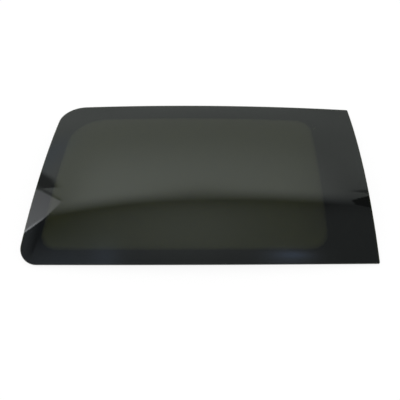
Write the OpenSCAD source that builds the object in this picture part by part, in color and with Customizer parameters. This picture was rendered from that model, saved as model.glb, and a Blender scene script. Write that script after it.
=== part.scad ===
// Fixed side window of a van: one pane of bent, toughened privacy glass with a
// black ceramic border fused to its inner face.
// The pane lies with its convex outer face up, as it does before it is bonded in.
// X runs along the van, Y up the window, Z out through the outer face.

/* [Pane] */
// Overall width, from the rounded rear corner to the pillar edge
pane_w = 940; // [700:5:1300]
// Overall height, from the lowest point of the sill edge to the roof edge
pane_h = 547; // [400:1:700]
// Thickness of the toughened glass
glass_t = 4; // [3:0.1:6]
// Bulge of the sill edge below its ends
sill_arch = 9; // [6:0.5:20]
// Lean of the rear edge, in degrees from square
rear_lean = 6.7; // [2:0.1:14]
// Radius of the rear corner at the sill
sill_corner_r = 48; // [20:1:90]
// Radius of the rear corner at the roof
roof_corner_r = 76; // [20:1:120]
// Radius of the two corners at the pillar
pillar_corner_r = 4; // [4:0.5:12]

/* [Bend] */
// Radius of the outer face across the window, from sill to roof
bend_r = 1200; // [800:10:2000]
// Radius of the outer face along the van
long_bend_r = 6500; // [4000:100:6600]

/* [Ceramic border] */
// Thickness of the ceramic
ceramic_t = 0.3; // [0.2:0.05:0.6]
// Bare glass left between the ceramic and the ground edge
edge_gap = 2; // [1:0.5:4]
// Width of the border along the sill
sill_band = 39.5; // [25:0.5:90]
// Width of the border along the roof
roof_band = 61; // [25:1:90]
// Width of the border along the rear edge
rear_band = 48; // [25:1:90]
// Width of the border along the pillar edge
pillar_band = 131; // [60:1:180]
// Corner radius of the clear glass, rear and low
clear_rear_sill_r = 42; // [20:1:120]
// Corner radius of the clear glass, rear and high
clear_rear_roof_r = 110; // [20:1:140]
// Corner radius of the clear glass at the pillar
clear_pillar_r = 49; // [20:1:100]

/* [Hidden] */

// Segments in a full turn
round_fn = 96;
bend_fn = 720;

// Length by which the bent sheet reaches past the outline
spare = 20;

// A corner's arc crosses its two edges by this much instead of just touching them.
lap = 0.01;

// The sill edge is one flat arc through its lowest point and both ends.
sill_r = pane_w * pane_w / (8 * sill_arch) + sill_arch / 2;
sill_c = [0, -pane_h / 2 + sill_r];

// The rear edge runs tangent to the rear sill corner, whose circle touches the
// overall width and the sill arc.
rear_up = [sin(rear_lean), cos(rear_lean)];
rear_in = [cos(rear_lean), -sin(rear_lean)];
rear_corner_x = -pane_w / 2 + sill_corner_r;
rear_corner_y = sill_c.y - sqrt(pow(sill_r - sill_corner_r, 2) - pow(rear_corner_x, 2));
rear_p = [rear_corner_x, rear_corner_y] - sill_corner_r * rear_in;

// Height of the torus that carries the bend, over its own centre, at a point of
// the plan and a depth below the outer face
function bend_z(p, depth) =
    sqrt(pow(long_bend_r - bend_r + sqrt(pow(bend_r - depth, 2) - p.y * p.y), 2) - p.x * p.x);

// The pane rests on the lowest point of its inner face, which lies on the rounded
// corner between pillar and roof, where the bend falls away square to the arc.
low_c = [pane_w / 2, pane_h / 2] - pillar_corner_r * [1, 1];
low_tube = sqrt(pow(bend_r - glass_t, 2) - low_c.y * low_c.y);
low_fall = [low_c.x, low_c.y * (long_bend_r - bend_r + low_tube) / low_tube];
floor_z = bend_z(low_c + pillar_corner_r * low_fall / norm(low_fall), glass_t);

// Half the turn about the torus that the bent sheet takes
half_turn = asin((pane_w / 2 + spare) / floor_z);

// Centre of a circle of radius r that touches, from inside, the sill arc moved in
// by sill_in and the line through p along the unit vector up
function sill_fillet(p, up, inward, r, sill_in) =
    let (q = p + r * inward - sill_c,
         b = q * up,
         reach = b * b - q * q + pow(sill_r - sill_in - r, 2))
    p + r * inward - (b + sqrt(reach)) * up;

// The same for the straight roof edge at height y
function roof_fillet(p, up, inward, r, y) =
    let (q = p + r * inward)
    q + (y - r - q.y) / up.y * up;

// Everything beyond a corner's arc, between its two radii
module corner_waste(c, r, a, b) {
    reach = 4 * r;
    difference() {
        polygon([c, c + reach * a, c + reach * (a + b), c + reach * b]);
        translate(c) circle(r + lap, $fn = round_fn);
    }
}

// Outline of the window moved in by its own distance at each edge
// r is [rear sill, rear roof, pillar roof, pillar sill], and 0 is a sharp corner
module outline(sill_in, roof_in, rear_in_by, pillar_in, r) {
    roof_y = pane_h / 2 - roof_in;
    pillar_x = pane_w / 2 - pillar_in;
    rear_q = rear_p + rear_in_by * rear_in;
    pillar_q = [pillar_x, 0];
    far = 2 * pane_w;
    rear_sill = sill_fillet(rear_q, rear_up, rear_in, r[0], sill_in);
    rear_roof = roof_fillet(rear_q, rear_up, rear_in, r[1], roof_y);
    pillar_roof = [pillar_x - r[2], roof_y - r[2]];
    pillar_sill = sill_fillet(pillar_q, [0, 1], [-1, 0], r[3], sill_in);
    difference() {
        intersection() {
            translate(sill_c) circle(sill_r - sill_in, $fn = bend_fn);
            polygon([
                rear_q - far * rear_up,
                rear_q + (roof_y - rear_q.y) / rear_up.y * rear_up,
                [pillar_x, roof_y],
                [pillar_x, -far]
            ]);
        }
        corner_waste(rear_sill, r[0], -rear_in, outward_from_sill(rear_sill));
        corner_waste(rear_roof, r[1], -rear_in, [0, 1]);
        if (r[2] > 0) corner_waste(pillar_roof, r[2], [1, 0], [0, 1]);
        if (r[3] > 0) corner_waste(pillar_sill, r[3], [1, 0], outward_from_sill(pillar_sill));
    }
}

// Unit vector from the middle of the sill arc through a corner's centre
function outward_from_sill(c) = (c - sill_c) / norm(c - sill_c);

// A sheet that follows the bend between two depths below the outer face
module bent_sheet(top_depth, low_depth) {
    half_h = pane_h / 2 + spare;
    translate([0, 0, -floor_z])
        rotate([90, 0, 0])
            rotate([0, 0, 90 - half_turn])
                rotate_extrude(angle = 2 * half_turn, $fn = bend_fn)
                    translate([long_bend_r - bend_r, 0])
                        intersection() {
                            difference() {
                                circle(bend_r - top_depth, $fn = bend_fn);
                                circle(bend_r - low_depth, $fn = bend_fn);
                            }
                            translate([0, -half_h]) square([bend_r, 2 * half_h]);
                        }
}

// What of a bent sheet stands on an outline in the plan
module cut_sheet(top_depth, low_depth) {
    intersection() {
        bent_sheet(top_depth, low_depth);
        translate([0, 0, -spare])
            linear_extrude(height = bend_z([0, 0], 0) - floor_z + 2 * spare)
                children();
    }
}

module glass_pane() {
    color([0.16, 0.19, 0.16, 0.85])
        cut_sheet(0, glass_t)
            outline(0, 0, 0, 0,
                [sill_corner_r, roof_corner_r, pillar_corner_r, pillar_corner_r]);
}

module ceramic_border() {
    color([0.03, 0.03, 0.035])
        cut_sheet(glass_t, glass_t + ceramic_t)
            difference() {
                outline(edge_gap, edge_gap, edge_gap, edge_gap,
                    [sill_corner_r, roof_corner_r, pillar_corner_r, pillar_corner_r]
                        - edge_gap * [1, 1, 1, 1]);
                outline(sill_band, roof_band, rear_band, pillar_band,
                    [clear_rear_sill_r, clear_rear_roof_r, clear_pillar_r, clear_pillar_r]);
            }
}

glass_pane();
ceramic_border();
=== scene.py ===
"""Visual model of a bonded van side window: bent privacy glass with a printed black border.

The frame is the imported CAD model: X runs along the pane to the pillar edge, Y up to the roof edge,
Z is the way the outer face bulges, and the pane lies on the floor with that face up.
"""

import functools
import math

import bpy
import numpy as np
from mathutils import Matrix, Vector


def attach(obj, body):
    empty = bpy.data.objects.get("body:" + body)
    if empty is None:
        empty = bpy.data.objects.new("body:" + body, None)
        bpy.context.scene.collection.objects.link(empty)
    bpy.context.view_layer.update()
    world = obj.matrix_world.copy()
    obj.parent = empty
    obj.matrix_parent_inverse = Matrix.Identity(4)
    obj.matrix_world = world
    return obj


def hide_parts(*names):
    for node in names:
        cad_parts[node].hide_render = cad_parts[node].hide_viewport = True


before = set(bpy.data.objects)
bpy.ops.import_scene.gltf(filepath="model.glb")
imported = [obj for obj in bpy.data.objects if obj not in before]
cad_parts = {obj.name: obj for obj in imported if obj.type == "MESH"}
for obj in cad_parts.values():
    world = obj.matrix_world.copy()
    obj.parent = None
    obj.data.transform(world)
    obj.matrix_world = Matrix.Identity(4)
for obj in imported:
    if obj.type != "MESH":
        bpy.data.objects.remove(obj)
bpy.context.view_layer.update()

MM = 0.001

# The pane, in millimetres, as the CAD has it.
PANE_W = 940.0
PANE_H = 547.0
GLASS_T = 4.0
SILL_ARCH = 9.0
REAR_LEAN = math.radians(6.7)
SILL_CORNER_R = 48.0
ROOF_CORNER_R = 76.0
PILLAR_CORNER_R = 4.0
BEND_R = 1200.0
LONG_BEND_R = 6500.0

# The printed border. Its top is sunk into the glass by PRINT_SINK, so that the two don't share
# a face.
CERAMIC_T = 0.3
PRINT_SINK = 0.05
EDGE_GAP = 2.0
SILL_BAND = 39.5
ROOF_BAND = 61.0
REAR_BAND = 48.0
PILLAR_BAND = 131.0
CLEAR_REAR_SILL_R = 42.0
CLEAR_REAR_ROOF_R = 110.0
CLEAR_PILLAR_R = 49.0

# The rows of dots that soften the border: distance from its edge, and dot radius. A dot is as
# thick as DOT_SINK and DOT_T together, the first of which is inside the glass.
DOT_ROWS = ((1.0, 1.05), (3.1, 0.9), (5.3, 0.72), (7.5, 0.55), (9.7, 0.4), (11.8, 0.28))
DOT_PITCH = 2.35
DOT_SIDES = 8
DOT_SINK = 0.1
DOT_T = 0.25

# The ground edge: how far the rim is rounded back at each face, and the steps across it.
GRIND_BACK = 0.9
GRIND_STEPS = 10

# Samples along each stretch of an outline, and across the faces.
CORNER_STEPS = 30
SHORT_STEPS = 6
SILL_STEPS = 110
PILLAR_STEPS = 56
ROOF_STEPS = 90
REAR_STEPS = 44
FACE_STEPS = 30
BAND_STEPS = 7

SILL_R = PANE_W ** 2 / (8 * SILL_ARCH) + SILL_ARCH / 2
SILL_CENTRE = np.array([0.0, SILL_R - PANE_H / 2])
REAR_UP = np.array([math.sin(REAR_LEAN), math.cos(REAR_LEAN)])
REAR_IN = np.array([math.cos(REAR_LEAN), -math.sin(REAR_LEAN)])


def rear_foot():
    """The point of the straight rear edge beside the sill corner's centre.

    The corner's arc touches the sill arc from inside, with its left end on the pane's width."""
    x = SILL_CORNER_R - PANE_W / 2
    y = SILL_CENTRE[1] - math.sqrt((SILL_R - SILL_CORNER_R) ** 2 - x * x)
    return np.array([x, y]) - SILL_CORNER_R * REAR_IN


REAR_FOOT = rear_foot()


def bend_height(points, depth):
    """Height of the bent sheet at plan points, depth under its outer face, in millimetres.

    The sheet is part of a ring surface: a circle of the bend radius less the depth, carried
    round the long bend's circle. It is measured from the inner face's lowest point, on the
    rounded corner between pillar and roof, where the bend falls away square to the arc."""
    def rise(x, y, down):
        """Height over the ring surface's own centre."""
        tube = np.sqrt((BEND_R - down) ** 2 - y * y)
        return np.sqrt((LONG_BEND_R - BEND_R + tube) ** 2 - x * x)
    corner = np.array([PANE_W, PANE_H]) / 2 - PILLAR_CORNER_R
    tube = math.sqrt((BEND_R - GLASS_T) ** 2 - corner[1] ** 2)
    fall = corner * np.array([1.0, (LONG_BEND_R - BEND_R + tube) / tube])
    lowest = corner + PILLAR_CORNER_R * fall / np.linalg.norm(fall)
    base = rise(lowest[0], lowest[1], GLASS_T)
    return rise(points[:, 0], points[:, 1], depth) - base


def lift(points, depth):
    """Plan points in millimetres put on the bent sheet at one depth or a depth each, in metres."""
    return np.column_stack([points, bend_height(points, depth)]) * MM


def arc(centre, radius, start, end, steps):
    """Points of an arc, without its last one."""
    turn = np.linspace(start, end, steps, endpoint=False)
    return centre + radius * np.column_stack([np.cos(turn), np.sin(turn)])


def line(start, end, steps):
    """Points of a straight stretch, without its last one."""
    share = np.linspace(0.0, 1.0, steps, endpoint=False)[:, None]
    return start + (end - start) * share


def heading(vector):
    """The angle of a plan vector."""
    return math.atan2(vector[1], vector[0])


def sill_fillet(edge_point, up, inward, radius, sill_in):
    """Centre of the arc that touches a side line and the sill arc from inside.

    It lies one radius inside the line, where its distance from the sill arc's centre is the
    sill's radius less the inset and its own radius."""
    foot = edge_point + radius * inward - SILL_CENTRE
    along = foot @ up
    reach = along ** 2 - foot @ foot + (SILL_R - sill_in - radius) ** 2
    return edge_point + radius * inward - (along + math.sqrt(reach)) * up


def outline(insets, radii):
    """A closed outline like the pane's, each of its sides moved in by its own distance.

    insets are sill, roof, rear and pillar; radii are rear sill, rear roof, pillar roof and
    pillar sill. Every outline has the same samples on each stretch, so two of them pair up."""
    sill_in, roof_in, rear_in, pillar_in = insets
    rear_sill_r, rear_roof_r, pillar_roof_r, pillar_sill_r = radii
    roof_y = PANE_H / 2 - roof_in
    pillar_x = PANE_W / 2 - pillar_in
    rear_point = REAR_FOOT + rear_in * REAR_IN
    rear_sill = sill_fillet(rear_point, REAR_UP, REAR_IN, rear_sill_r, sill_in)
    roof_foot = rear_point + rear_roof_r * REAR_IN
    climb = (roof_y - rear_roof_r - roof_foot[1]) / REAR_UP[1]
    rear_roof = roof_foot + climb * REAR_UP
    pillar_roof = np.array([pillar_x - pillar_roof_r, roof_y - pillar_roof_r])
    pillar_sill = sill_fillet(np.array([pillar_x, 0.0]), np.array([0.0, 1.0]),
                              np.array([-1.0, 0.0]), pillar_sill_r, sill_in)
    rear_angle = heading(-REAR_IN)
    sill_start = heading(rear_sill - SILL_CENTRE)
    sill_end = heading(pillar_sill - SILL_CENTRE)
    right = np.array([1.0, 0.0])
    top = np.array([0.0, 1.0])
    return np.vstack([
        arc(rear_sill, rear_sill_r, rear_angle, sill_start + 2 * math.pi, CORNER_STEPS),
        arc(SILL_CENTRE, SILL_R - sill_in, sill_start, sill_end, SILL_STEPS),
        arc(pillar_sill, pillar_sill_r, sill_end, 0.0, SHORT_STEPS),
        line(pillar_sill + pillar_sill_r * right, pillar_roof + pillar_roof_r * right, PILLAR_STEPS),
        arc(pillar_roof, pillar_roof_r, 0.0, math.pi / 2, SHORT_STEPS),
        line(pillar_roof + pillar_roof_r * top, rear_roof + rear_roof_r * top, ROOF_STEPS),
        arc(rear_roof, rear_roof_r, math.pi / 2, rear_angle, CORNER_STEPS),
        line(rear_roof - rear_roof_r * REAR_IN, rear_sill - rear_sill_r * REAR_IN, REAR_STEPS),
    ])


def pane_outline(inset):
    """The pane's own outline, moved in all round by one distance."""
    return outline([inset] * 4, [SILL_CORNER_R - inset, ROOF_CORNER_R - inset,
                                 PILLAR_CORNER_R - inset, PILLAR_CORNER_R - inset])


def clear_outline(inset):
    """The border's inner outline, moved further in by one distance."""
    return outline([SILL_BAND + inset, ROOF_BAND + inset, REAR_BAND + inset, PILLAR_BAND + inset],
                   [CLEAR_REAR_SILL_R - inset, CLEAR_REAR_ROOF_R - inset,
                    CLEAR_PILLAR_R - inset, CLEAR_PILLAR_R - inset])


def lengths_along(ring):
    """Running length round a closed ring of points, with the whole round as its last entry."""
    steps = np.linalg.norm(np.roll(ring, -1, axis=0) - ring, axis=1)
    return np.concatenate([[0.0], np.cumsum(steps)])


def grid_faces(rings, around, closed_across):
    """Quads between successive rings of the same count; the last ring may join the first."""
    across = rings if closed_across else rings - 1
    i, j = np.meshgrid(np.arange(across), np.arange(around), indexing="ij")
    k = (i + 1) % rings
    m = (j + 1) % around
    quads = np.stack([i * around + j, k * around + j, k * around + m, i * around + m], axis=-1)
    return quads.reshape(-1, 4)


def grid_uv(rings):
    """Each quad corner's place round the piece and across it, in metres, seams included."""
    around = lengths_along(rings[len(rings) // 2])
    strides = np.linalg.norm(np.diff(rings[:, 0], axis=0), axis=1)
    across = np.concatenate([[0.0], np.cumsum(strides)])
    i, j = np.meshgrid(np.arange(len(across) - 1), np.arange(len(around) - 1), indexing="ij")
    u = np.stack([around[j], around[j], around[j + 1], around[j + 1]], axis=-1)
    v = np.stack([across[i], across[i + 1], across[i + 1], across[i]], axis=-1)
    return np.stack([u, v], axis=-1).reshape(-1, 2)


def cap_faces(rings, around):
    """Triangles that close a grid from two poles, which come after its vertices."""
    here = np.arange(around)
    after = (here + 1) % around
    last = (rings - 1) * around
    pole = np.full(around, rings * around)
    first_cap = np.column_stack([pole, here, after])
    last_cap = np.column_stack([pole + 1, last + after, last + here])
    return np.vstack([first_cap, last_cap])


def make_piece(name, vertices, faces, sharp_above):
    """A mesh object at the origin from arrays, smooth apart from edges over an angle."""
    mesh = bpy.data.meshes.new(name)
    mesh.from_pydata(vertices, [], faces)
    mesh.validate()
    mesh.shade_smooth()
    mesh.set_sharp_from_angle(angle=math.radians(sharp_above))
    piece = bpy.data.objects.new(name, mesh)
    bpy.context.scene.collection.objects.link(piece)
    return piece


def put_uv(piece, uv):
    """Writes a value pair for each face corner into the piece's UV map."""
    layer = piece.data.uv_layers.new(name="run")
    layer.data.foreach_set("uv", uv.astype(np.float32).ravel())


def put_finish(piece, index):
    """Gives each face of the piece its material, by the material's number on the piece."""
    piece.data.polygons.foreach_set("material_index", index.astype(np.int32))


def tinted_pane():
    """The glass: two bent faces joined by a rounded ground rim.

    Rings shrink from the rim's rings to the middle of each face, as centre + share x (rim -
    centre). Across the rim, depth and inset follow a circular arc that bulges by the grind."""
    reach = ((GLASS_T / 2) ** 2 + GRIND_BACK ** 2) / (2 * GRIND_BACK)
    half = math.asin(GLASS_T / 2 / reach)
    turn = np.linspace(-half, half, GRIND_STEPS + 1)
    rim_inset = reach - reach * np.cos(turn)
    rim_depth = GLASS_T / 2 + reach * np.sin(turn)
    rim = [(pane_outline(inset), depth) for inset, depth in zip(rim_inset, rim_depth)]
    face = rim[0][0]
    centre = np.array([(face[:, 0].min() + face[:, 0].max()) / 2, 0.0])
    shares = np.linspace(0.0, 1.0, FACE_STEPS + 1)[1:-1]
    outer = [(centre + share * (face - centre), 0.0) for share in shares]
    inner = [(centre + share * (face - centre), GLASS_T) for share in shares[::-1]]
    rings = np.array([lift(points, depth) for points, depth in outer + rim + inner])
    count, around = rings.shape[:2]
    poles = np.vstack([lift(centre[None], 0.0), lift(centre[None], GLASS_T)])
    vertices = np.vstack([rings.reshape(-1, 3), poles])
    quads = grid_faces(count, around, False)
    caps = cap_faces(count, around)
    piece = make_piece("tinted_pane", vertices.tolist(), quads.tolist() + caps.tolist(),
                       sharp_above=30)
    put_uv(piece, np.vstack([grid_uv(rings), np.zeros((caps.size, 2))]))
    ring_of_quad = np.arange(len(quads)) // around
    on_rim = (ring_of_quad >= len(outer)) & (ring_of_quad < len(outer) + GRIND_STEPS)
    put_finish(piece, np.concatenate([on_rim, np.zeros(len(caps), bool)]))
    return piece


def printed_border():
    """The ceramic band: a thin solid frame printed on the inner face.

    Its section is a loop of rings mixed from the outer and the inner outline, along the top,
    which is sunk a little into the glass, and back along the underside."""
    outer = pane_outline(EDGE_GAP)
    inner = clear_outline(0.0)
    shares = np.linspace(0.0, 1.0, BAND_STEPS + 1)
    top = [(share, GLASS_T - PRINT_SINK) for share in shares]
    low = [(share, GLASS_T + CERAMIC_T) for share in shares[::-1]]
    section = top + low
    rings = np.array([lift(outer + share * (inner - outer), depth) for share, depth in section])
    count, around = rings.shape[:2]
    faces = grid_faces(count, around, True)[:, ::-1]
    piece = make_piece("printed_border", rings.reshape(-1, 3).tolist(), faces.tolist(),
                       sharp_above=40)
    strip = np.arange(len(faces)) // around
    put_finish(piece, strip >= BAND_STEPS)
    return piece


def places_along(ring, run, lengths):
    """Points of a ring at running lengths that are given on the ring it pairs up with."""
    closed = np.vstack([ring, ring[:1]])
    station = np.interp(lengths, run, np.arange(len(run)))
    return np.column_stack([np.interp(station, np.arange(len(closed)), axis) for axis in closed.T])


def fade_dots():
    """The border's dots: rows of flat eight-sided lenses that get smaller towards the clear glass.

    The first row is spaced evenly by length, and the others take the same places round their own
    outlines, every second row moved by half a step."""
    run = lengths_along(clear_outline(DOT_ROWS[0][0]))
    count = int(run[-1] / DOT_PITCH)
    turn = np.arange(DOT_SIDES) * 2 * math.pi / DOT_SIDES
    rim = np.column_stack([np.cos(turn), np.sin(turn)])
    vertices = []
    for row, (inset, radius) in enumerate(DOT_ROWS):
        lengths = (np.arange(count) + 0.5 * (row % 2)) * run[-1] / count
        middle = places_along(clear_outline(inset), run, lengths)
        edge = (middle[:, None, :] + radius * rim[None]).reshape(-1, 2)
        top = lift(middle, GLASS_T - DOT_SINK).reshape(count, 1, 3)
        low = lift(middle, GLASS_T + DOT_T).reshape(count, 1, 3)
        belt = lift(edge, GLASS_T).reshape(count, DOT_SIDES, 3)
        vertices.append(np.concatenate([top, low, belt], axis=1))
    dots = np.concatenate(vertices)
    here = np.arange(DOT_SIDES)
    after = (here + 1) % DOT_SIDES
    upper = np.column_stack([np.zeros(DOT_SIDES, int), here + 2, after + 2])
    lower = np.column_stack([np.ones(DOT_SIDES, int), after + 2, here + 2])
    one = np.vstack([upper, lower])
    each = np.arange(len(dots))[:, None, None] * (DOT_SIDES + 2)
    faces = (one[None] + each).reshape(-1, 3)
    piece = make_piece("fade_dots", dots.reshape(-1, 3).tolist(), faces.tolist(),
                       sharp_above=60)
    put_finish(piece, np.arange(len(faces)) % (2 * DOT_SIDES) >= DOT_SIDES)
    return piece


WHITE = (1.0, 1.0, 1.0, 1.0)
BLACK = (0.0, 0.0, 0.0, 1.0)


class Wire:
    """A node output whose operators add Math nodes to the tree that it is in."""

    def __init__(self, tree, socket=None):
        self.tree = tree
        self.socket = socket

    def node(self, kind, settings=None, values=None, output=0):
        """Adds a node: first its settings, then the values or links of its input sockets."""
        made = self.tree.nodes.new(kind)
        for name, value in (settings or {}).items():
            setattr(made, name, value)
        for name, value in (values or {}).items():
            if isinstance(value, Wire):
                self.tree.links.new(value.socket, made.inputs[name])
            else:
                made.inputs[name].default_value = value
        if isinstance(output, tuple):
            return tuple(Wire(self.tree, made.outputs[name]) for name in output)
        return Wire(self.tree, made.outputs[output]) if len(made.outputs) else made

    def maths(self, operation, *values):
        """A Math node on these values."""
        return self.node("ShaderNodeMath", {"operation": operation}, dict(enumerate(values)))

    def __add__(self, other):
        return self.maths("ADD", self, other)

    def __radd__(self, other):
        return self.maths("ADD", other, self)

    def __sub__(self, other):
        return self.maths("SUBTRACT", self, other)

    def __rsub__(self, other):
        return self.maths("SUBTRACT", other, self)

    def __mul__(self, other):
        return self.maths("MULTIPLY", self, other)

    def __rmul__(self, other):
        return self.maths("MULTIPLY", other, self)

    def __truediv__(self, other):
        return self.maths("DIVIDE", self, other)

    def __rtruediv__(self, other):
        return self.maths("DIVIDE", other, self)

    def __pow__(self, other):
        return self.maths("POWER", self, other)

    def __rpow__(self, other):
        return self.maths("POWER", other, self)

    def __neg__(self):
        return self.maths("MULTIPLY", self, -1.0)

    def smaller(self, other):
        """The smaller of two values."""
        return self.maths("MINIMUM", self, other)

    def larger(self, other):
        """The larger of two values."""
        return self.maths("MAXIMUM", self, other)

    def ease(self, low, high):
        """0 below low and 1 above high, with a smooth rise between them."""
        return self.node("ShaderNodeMapRange", {"interpolation_type": "SMOOTHSTEP"},
                         {"Value": self, "From Min": low, "From Max": high})


def mix_colours(wire, share, first, second):
    """A colour between two, by a share."""
    return wire.node("ShaderNodeMix", {"data_type": "RGBA"},
                     {"Factor": share, 6: first, 7: second}, output=2)


def mix_shaders(wire, share, first, second):
    """A shader between two, by a share."""
    return wire.node("ShaderNodeMixShader", None, {0: share, 1: first, 2: second})


def noise(wire, place, scale, detail, roughness=0.5):
    """Noise between 0 and 1 over a place."""
    return wire.node("ShaderNodeTexNoise", None, {
        "Vector": place, "Scale": scale, "Detail": detail, "Roughness": roughness})


def relief(wire, height, strength, distance):
    """The normal that a height gives, with its strength and its full height in metres."""
    return wire.node("ShaderNodeBump", None, {
        "Height": height, "Strength": strength, "Distance": distance})


def new_material(name):
    """An empty node material, and a wire that adds nodes to it."""
    material = bpy.data.materials.new(name)
    material.use_nodes = True
    material.node_tree.nodes.clear()
    return material, Wire(material.node_tree)


def close_material(wire, shader):
    """Puts a shader on the material's surface."""
    wire.node("ShaderNodeOutputMaterial", None, {"Surface": shader})


# The materials: each one's tint, its roughness with what its patterns add to that, and the
# limits of noise between which a pattern comes up.
GLASS_TINT = (0.1235, 0.135, 0.066, 1.0)
GLASS_IOR = 1.52
GLASS_ROUGH = 0.006
SMEAR_ROUGH = 0.03
SMEARS = (0.5, 0.8)
SPECK_ROUGH = 0.04
SPECKS = (0.68, 0.8)
RIM_TINT = (0.1, 0.115, 0.09, 1.0)
RIM_CLEAR = 0.75
RIM_ROUGH = 0.38
SCRATCH_ROUGH = 0.22
ENAMEL_IOR = 1.5
ENAMEL_ROUGH = 0.42
GRAIN_ROUGH = 0.2
THIN_PLACES = (0.35, 0.7)
FUSED_DARK = (0.004, 0.004, 0.005, 1.0)
FUSED_THIN = (0.008, 0.008, 0.009, 1.0)
FUSED_SHEEN = 0.0
BACK_DARK = (0.016, 0.016, 0.018, 1.0)
BACK_THIN = (0.028, 0.028, 0.03, 1.0)
BACK_SHEEN = 0.4


def privacy_glass():
    """Privacy glass: polished, body tinted grey-green, with faint wiped smears and a slow ripple."""
    material, w = new_material("privacy_glass")
    place = w.node("ShaderNodeTexCoord", output="Object")
    drawn = w.node("ShaderNodeMapping", None,
                   {"Vector": place, "Rotation": (0.0, 0.0, 0.5), "Scale": (3.0, 14.0, 3.0)})
    smear = noise(w, drawn, scale=2.2, detail=5.0, roughness=0.6)
    speck = noise(w, place, scale=900.0, detail=1.0)
    dusty = smear.ease(*SMEARS) * SMEAR_ROUGH + speck.ease(*SPECKS) * SPECK_ROUGH
    ripple = noise(w, place, scale=9.0, detail=1.0)
    shader = w.node("ShaderNodeBsdfPrincipled", None, {
        "Base Color": GLASS_TINT, "Transmission Weight": 1.0, "IOR": GLASS_IOR,
        "Roughness": GLASS_ROUGH + dusty,
        "Normal": relief(w, ripple, strength=0.02, distance=0.001)})
    close_material(w, shader)
    return material


def ground_rim():
    """The ground rim: pale frosted grey-green glass with fine scratches along its run."""
    material, w = new_material("ground_rim")
    run = w.node("ShaderNodeTexCoord", output="UV")
    drawn = w.node("ShaderNodeMapping", None, {"Vector": run, "Scale": (60.0, 3500.0, 1.0)})
    scratch = noise(w, drawn, scale=1.0, detail=3.0)
    shader = w.node("ShaderNodeBsdfPrincipled", None, {
        "Base Color": RIM_TINT, "Transmission Weight": RIM_CLEAR, "IOR": GLASS_IOR,
        "Roughness": RIM_ROUGH + scratch * SCRATCH_ROUGH,
        "Normal": relief(w, scratch, strength=0.35, distance=0.0002)})
    close_material(w, shader)
    return material


def enamel(name, dark, thin, sheen):
    """Fired black enamel: near black, satin, with the print's fine mesh and a few thin places."""
    material, w = new_material(name)
    place = w.node("ShaderNodeTexCoord", output="Object")
    grain = noise(w, place, scale=1400.0, detail=2.0)
    cloud = noise(w, place, scale=26.0, detail=4.0, roughness=0.6)
    shader = w.node("ShaderNodeBsdfPrincipled", None, {
        "Base Color": mix_colours(w, cloud.ease(*THIN_PLACES), dark, thin),
        "IOR": ENAMEL_IOR, "Specular IOR Level": sheen,
        "Roughness": ENAMEL_ROUGH + grain * GRAIN_ROUGH,
        "Normal": relief(w, grain, strength=0.25, distance=0.0001)})
    close_material(w, shader)
    return material


# The pieces with their finishes, all on the part's one body.
pane = tinted_pane()
pane.data.materials.append(privacy_glass())
pane.data.materials.append(ground_rim())
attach(pane, "root")
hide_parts("glass_pane")

fused = enamel("enamel_fused", FUSED_DARK, FUSED_THIN, FUSED_SHEEN)
back = enamel("enamel_back", BACK_DARK, BACK_THIN, BACK_SHEEN)
border = printed_border()
border.data.materials.append(fused)
border.data.materials.append(back)
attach(border, "root")
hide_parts("ceramic_border")

dots = fade_dots()
dots.data.materials.append(fused)
dots.data.materials.append(back)
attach(dots, "root")


# The studio. The pane mirrors it: a soft light wall behind the roof edge, brightest just over
# the edge of a dark ceiling, whose border runs along the pane, and panels at its two ends.
# A place in it is (u, v), the sideways and the backward slope of a direction, for each unit that
# it climbs. A soft spot is its place and width sideways, its place and width backwards, and its
# strength. A pair of limits is where something starts and where it is complete.

# The wall: an even level with a glow above the ceiling's edge, falling towards the pillar end,
# less the dimmer places on it.
WALL_LEVEL = 0.775
WALL_GLOW = 0.8
GLOW_U = -0.5
GLOW_WIDTH = 1.24
GLOW_FADE = 0.55
WALL_FALL = 0.14
WALL_SHADES = (
    (0.025, 0.115, 0.52, 0.07, 0.28),    # over the middle of the ceiling's edge
    (-0.4, 0.09, 0.27, 0.5, 0.78),       # beside the screen
    (0.515, 0.125, -0.07, 0.76, 0.8),    # beside the pillar end's board
    (-0.5, 0.05, 0.92, 0.13, 0.06),      # over the rear end's board, wide
    (-0.485, 0.025, 0.8, 0.045, 0.14),   # over the rear end's board, close
    (-0.62, 0.36, 2.6, 0.55, 0.16),      # low down at the rear end
    (0.95, 0.3, 2.6, 0.6, 0.08),         # low down at the pillar end
)

# The ceiling: dim, dimmer in a strip along its edge and at one corner, with soft lamps.
CEILING_LEVEL = 0.295
CEILING_GLOW = (0.0, 0.21, 0.21, 0.25, 0.29)
CORNER_DIM = (-0.38, 0.11, 0.24, 0.14, 0.215)
EDGE_DIM = 0.225
EDGE_DIM_WIDTH = 0.103
EDGE_DIM_LOSS = 0.6
EDGE_DIM_LOST = (0.34, 0.46)
CEILING_LAMPS = (
    (0.257, 0.07, 0.052, 0.062, 0.33),   # near the pillar end, its halo
    (0.272, 0.047, 0.07, 0.022, 0.28),   # near the pillar end, its tube
    (-0.215, 0.04, 0.057, 0.105, 0.17),  # near the rear end
    (-0.33, 0.15, -0.08, 0.32, 0.27),    # a broad one, in front of the rear end
)

# The ceiling's edge against the wall: v as a cubic of u, held level beyond FLANK_END. The wall
# comes up across EDGE_SOFT with EDGE_GAIN as its power, and again far in front and to the sides.
FLANK_END = 1.0
EDGE_V = 0.5
EDGE_TILT = 0.09
EDGE_BOW = -0.32
EDGE_TWIST = 0.317
EDGE_SOFT = 0.126
EDGE_GAIN = 0.575
FRONT_OPENS = (1.1, 1.6)
SIDES_OPEN = (1.3, 1.8)

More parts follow.
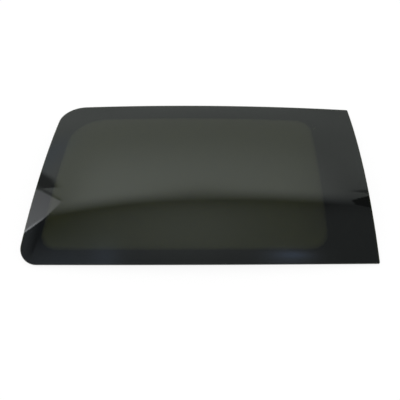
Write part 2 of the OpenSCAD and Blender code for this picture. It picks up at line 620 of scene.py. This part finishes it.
# The tones: the wall's is faintly green. The lamps, the ceiling and two spots are cool, and the
# screen has its own.
COOL_CEILING = 0.113
COOL_LAMPS = 1.41
COOL_SPOTS = (
    (-0.5, 0.07, 1.0, 0.35, 0.3),        # on the wall at the rear end
    (-0.36, 0.06, 0.27, 0.09, 0.25),     # on the ceiling before the screen
)
WALL_TONE = (0.963, 1.04, 0.995, 1.0)
COOL_TONE = (0.74, 0.95, 1.31, 1.0)
SCREEN_TONE = (0.99, 1.03, 1.065, 1.0)

# The rear end: a pale screen of SCREEN_LEVEL at SCREEN_AT, brighter outwards and downwards, with
# a bright rim; a seam beside it, a board over it, and before it a jamb that gets paler outwards.
# All but the screen fade out beyond REAR_END. The rim and the seam follow a line at a distance
# that is positive on its left. A run is how far out at the rear something starts and is complete.
PANEL_SOFT = 0.004
REAR_END = (0.52, 0.58)
SCREEN = [(-0.363, 0.465), (-0.512, 0.67), (-0.521, 0.1), (-0.447, 0.236), (-0.4, 0.333),
          (-0.386, 0.376)]
SCREEN_AT = (-0.4, 0.45)
SCREEN_LEVEL = 1.68
SCREEN_FALL = 2.06
SCREEN_SIDE = 2.34
SCREEN_RIM = SCREEN[3:5]
SCREEN_RIM_IN = 0.005
SCREEN_RIM_WIDTH = 0.004
SCREEN_RIM_LEVEL = 2.3
SCREEN_RIM_RUN = (0.392, 0.437)
SEAM = ((-0.352, 0.449), (-0.504, 0.675))
SEAM_OUT = -0.006
SEAM_WIDTH = 0.007
SEAM_LEVEL = 0.58
SEAM_RUN = (0.355, 0.37)
BOARD_TOP = ((-0.39, 0.606), (-0.421, 0.69), (-0.467, 0.768))
BOARD_SOFT = 0.016
BOARD_FOOT = (0.592, 0.604)
BOARD_LEVEL = 0.32
JAMB = ((-0.4145, 0.09), (-0.4, 0.21))
JAMB_SOFT = 0.003
JAMB_FOOT = (0.05, 0.13)
JAMB_HEAD = (0.34, 0.42)
JAMB_LEVEL = 0.17
JAMB_RISE = 0.25
JAMB_RISE_RUN = (0.404, 0.442)

# The pillar end: a dark board and a slat.
PILLAR_BOARD = [(0.484, 0.453), (0.62, 0.4), (0.62, 0.61), (0.477, 0.488)]
PILLAR_BOARD_LEVEL = 0.107
PILLAR_SLAT = [(0.49, 0.578), (0.62, 0.545), (0.62, 0.635)]
PILLAR_SLAT_LEVEL = 0.33
SLAT_SOFT = 0.01

# The soft light that isn't mirrored, stronger from the back, and the least climb that a slope
# is taken over.
SOFT_LEVEL = 0.95
SOFT_LEAN = 0.5
LOWEST_CLIMB = 0.03

# The floor, in metres: its half width, its height just under the pane, and how pale it is where
# it isn't lit by itself. Bare or seen through the glass, it is a shade of white and a glow; the glow
# seen through the glass is painted light under the pane. The bare one's glow ends this far inside
# the pane's outline, and the other's has a painted shade near a corner.
FLOOR_HALF = 30.0
FLOOR_Z = -0.0006
FLOOR_PALE = 0.85
BARE_FLOOR = (0.12, 0.895)
FLOOR_UNDER_GLASS = (0.42, 0.036)
GLOW_ENDS = (0.03, 0.09)
PAINTED_CORNER_SHADE = (0.33, 0.055, -0.12, 0.09, 0.75)


def side_of(u, v, start, end):
    """Signed distance of (u, v) from the line through two points, positive on its left."""
    run = np.array(end) - np.array(start)
    run = run / np.linalg.norm(run)
    return (v - start[1]) * float(run[0]) - (u - start[0]) * float(run[1])


def patch(u, v, corners, soft):
    """1 inside a convex patch with these corners, taken anticlockwise, and 0 outside."""
    ends = corners[1:] + corners[:1]
    sides = [side_of(u, v, start, end) for start, end in zip(corners, ends)]
    return functools.reduce(Wire.smaller, sides).ease(-soft, soft)


def hump(value, centre, width):
    """A bell curve of a value."""
    away = (value - centre) / width
    return math.e ** -(away * away)


def spot(u, v, shape):
    """A soft spot: its place and width sideways, its place and width backwards, its strength."""
    at_u, wide, at_v, deep, strength = shape
    return strength * hump(u, at_u, wide) * hump(v, at_v, deep)


def spots(u, v, shapes):
    """Several soft spots together."""
    return sum(spot(u, v, shape) for shape in shapes)


def blend(level, other, share):
    """A level moved towards another by a share."""
    return level + (other - level) * share


def end_panels(u, v, level):
    """The studio's level with the panels at its two ends, and the screen's share of it.

    At the rear end these are, each over the last: the board, the seam, the jamb and the screen
    with its bright rim. At the pillar end they are the board and the slat."""
    within = 1.0 - (-u).ease(*REAR_END)
    under = side_of(u, v, *BOARD_TOP[:2]).smaller(side_of(u, v, *BOARD_TOP[1:]))
    board = under.ease(-BOARD_SOFT, BOARD_SOFT) * v.ease(*BOARD_FOOT)
    level = blend(level, BOARD_LEVEL, board * within)
    seam = hump(side_of(u, v, *SEAM), SEAM_OUT, SEAM_WIDTH) * (-u).ease(*SEAM_RUN)
    level = blend(level, SEAM_LEVEL, seam * within)
    height = v.ease(*JAMB_FOOT) * (1.0 - v.ease(*JAMB_HEAD))
    jamb = side_of(u, v, *JAMB).ease(-JAMB_SOFT, JAMB_SOFT) * height
    level = blend(level, JAMB_LEVEL + JAMB_RISE * (-u).ease(*JAMB_RISE_RUN), jamb * within)
    screen = patch(u, v, SCREEN, PANEL_SOFT)
    shine = SCREEN_LEVEL + SCREEN_SIDE * (SCREEN_AT[0] - u) + SCREEN_FALL * (SCREEN_AT[1] - v)
    along_rim = hump(side_of(u, v, *SCREEN_RIM), SCREEN_RIM_IN, SCREEN_RIM_WIDTH)
    rim = along_rim * (-u).ease(*SCREEN_RIM_RUN)
    level = blend(level, shine + SCREEN_RIM_LEVEL * rim, screen)
    level = blend(level, PILLAR_BOARD_LEVEL, patch(u, v, PILLAR_BOARD, PANEL_SOFT))
    return blend(level, PILLAR_SLAT_LEVEL, patch(u, v, PILLAR_SLAT, SLAT_SOFT)), screen


def studio_level(u, v):
    """Brightness of the studio in a direction, its share of cool light, and the screen's share.

    The height over the ceiling's edge decides between ceiling and wall. Each has its level, to
    which its glow and lamps are added, and from which its dim spots are taken."""
    flank = u.larger(-FLANK_END).smaller(FLANK_END)
    over = v - (EDGE_V + flank * (EDGE_TILT + flank * (EDGE_BOW + EDGE_TWIST * flank)))
    glow = hump(u, GLOW_U, GLOW_WIDTH) * hump(over.larger(0.0), 0.0, GLOW_FADE)
    wall = WALL_LEVEL + WALL_GLOW * glow - WALL_FALL * flank - spots(u, v, WALL_SHADES)
    lamps = spots(u, v, CEILING_LAMPS)
    edge_dim = EDGE_DIM * (1.0 - EDGE_DIM_LOSS * u.ease(*EDGE_DIM_LOST))
    dims = edge_dim * hump(over, 0.0, EDGE_DIM_WIDTH) + spot(u, v, CORNER_DIM)
    ceiling = CEILING_LEVEL + spot(u, v, CEILING_GLOW) + lamps - dims
    open_wall = over.ease(-EDGE_SOFT / 2, EDGE_SOFT / 2) ** EDGE_GAIN
    around = (-v).ease(*FRONT_OPENS).larger(u.larger(-u).ease(*SIDES_OPEN))
    open_wall = open_wall.larger(around)
    level = blend(ceiling, wall, open_wall)
    cool = lamps * COOL_LAMPS + (1.0 - open_wall) * COOL_CEILING + spots(u, v, COOL_SPOTS)
    level, screen = end_panels(u, v, level)
    return level, cool.smaller(1.0), screen


def ray_kinds(wire):
    """Whether a ray comes from the camera, from a reflection, or through the glass."""
    return wire.node("ShaderNodeLightPath", output=(
        "Is Camera Ray", "Is Glossy Ray", "Is Transmission Ray"))


def even_light(wire, colour, strength):
    """Light of one colour from all around."""
    return wire.node("ShaderNodeBackground", None, {"Color": colour, "Strength": strength})


def studio_world():
    """White to the camera and through glass, an even soft light, and the studio in reflections."""
    world = bpy.data.worlds.new("studio")
    world.use_nodes = True
    world.node_tree.nodes.clear()
    w = Wire(world.node_tree)
    direction = w.node("ShaderNodeTexCoord", output="Generated")
    x, y, z = w.node("ShaderNodeSeparateXYZ", None, {0: direction}, output=("X", "Y", "Z"))
    climb = z.larger(LOWEST_CLIMB)
    level, cool, screen = studio_level(x / climb, y / climb)
    tone = mix_colours(w, cool, WALL_TONE, COOL_TONE)
    tone = mix_colours(w, screen, tone, SCREEN_TONE)
    camera, glossy, through = ray_kinds(w)
    studio = even_light(w, tone, level)
    white = even_light(w, WHITE, 1.0)
    soft = even_light(w, WHITE, SOFT_LEVEL + SOFT_LEAN * y)
    lit = mix_shaders(w, glossy, soft, studio)
    seen = mix_shaders(w, camera.larger(through), lit, white)
    w.node("ShaderNodeOutputWorld", None, {"Surface": seen})
    bpy.context.scene.world = world


def glowing(wire, shade, glow, tone):
    """A white surface that takes part of its light from around it and glows for the rest."""
    part = wire.node("ShaderNodeBsdfDiffuse", None, {"Color": (shade, shade, shade, 1.0)})
    own = wire.node("ShaderNodeEmission", None, {"Color": tone, "Strength": glow})
    return wire.node("ShaderNodeAddShader", None, {0: part, 1: own})


def studio_floor():
    """A plain pale floor with a soft shadow of the pane.

    It glows white to the camera and in reflections, and that glow fades out under the pane,
    so that the space under the arch is as dim as it is in truth."""
    corners = [(-FLOOR_HALF, -FLOOR_HALF, FLOOR_Z), (FLOOR_HALF, -FLOOR_HALF, FLOOR_Z),
               (FLOOR_HALF, FLOOR_HALF, FLOOR_Z), (-FLOOR_HALF, FLOOR_HALF, FLOOR_Z)]
    floor = make_piece("floor", corners, [(0, 1, 2, 3)], sharp_above=30)
    material, w = new_material("pale_floor")
    camera, glossy, through = ray_kinds(w)
    mirrored = glossy * (1.0 - through)
    plain = w.node("ShaderNodeBsdfDiffuse", None,
                   {"Color": (FLOOR_PALE, FLOOR_PALE, FLOOR_PALE, 1.0)})
    place = w.node("ShaderNodeTexCoord", output="Object")
    x, y = w.node("ShaderNodeSeparateXYZ", None, {0: place}, output=("X", "Y"))
    # Painted shade: the glow seen through the glass is darker near one corner.
    painted_shade_tone = mix_colours(w, spot(x, y, PAINTED_CORNER_SHADE), WHITE, BLACK)
    under_glass = glowing(w, *FLOOR_UNDER_GLASS, painted_shade_tone)
    bare = glowing(w, *BARE_FLOOR, WHITE)
    rear = (x - REAR_FOOT[0] * MM) * REAR_IN[0] + (y - REAR_FOOT[1] * MM) * REAR_IN[1]
    inset = rear.smaller(PANE_W / 2 * MM - x).smaller(PANE_H / 2 * MM - y.larger(-y))
    own = camera.larger(mirrored) * (1.0 - inset.ease(*GLOW_ENDS))
    shadowed = mix_shaders(w, through, plain, under_glass)
    close_material(w, mix_shaders(w, own, shadowed, bare))
    floor.data.materials.append(material)


studio_world()
studio_floor()

# The camera, as the photograph's, in millimetres for the lens and in metres for its place.
LENS = 50.0
SENSOR = 36.0
PITCH = math.radians(56.881)
YAW = math.radians(2.871)
ROLL = math.radians(2.396)
DISTANCE = 1.5573
LOOK_AT = Vector((0.001, -0.0622, -0.0002))


def photo_camera():
    """The camera looks down at the pane by the pitch, turned by the yaw and tilted by the roll."""
    data = bpy.data.cameras.new("photo_camera")
    data.lens = LENS
    data.sensor_width = SENSOR
    camera = bpy.data.objects.new("photo_camera", data)
    bpy.context.scene.collection.objects.link(camera)
    forward = Vector((math.sin(YAW) * math.cos(PITCH), math.cos(YAW) * math.cos(PITCH),
                      -math.sin(PITCH)))
    level = Vector((math.cos(YAW), -math.sin(YAW), 0.0))
    upright = level.cross(forward)
    right = math.cos(ROLL) * level + math.sin(ROLL) * upright
    up = math.cos(ROLL) * upright - math.sin(ROLL) * level
    turned = Matrix((right, up, -forward)).transposed().to_4x4()
    camera.matrix_world = Matrix.Translation(LOOK_AT - forward * DISTANCE) @ turned
    bpy.context.scene.camera = camera


photo_camera()
bpy.context.scene.view_settings.view_transform = "Standard"
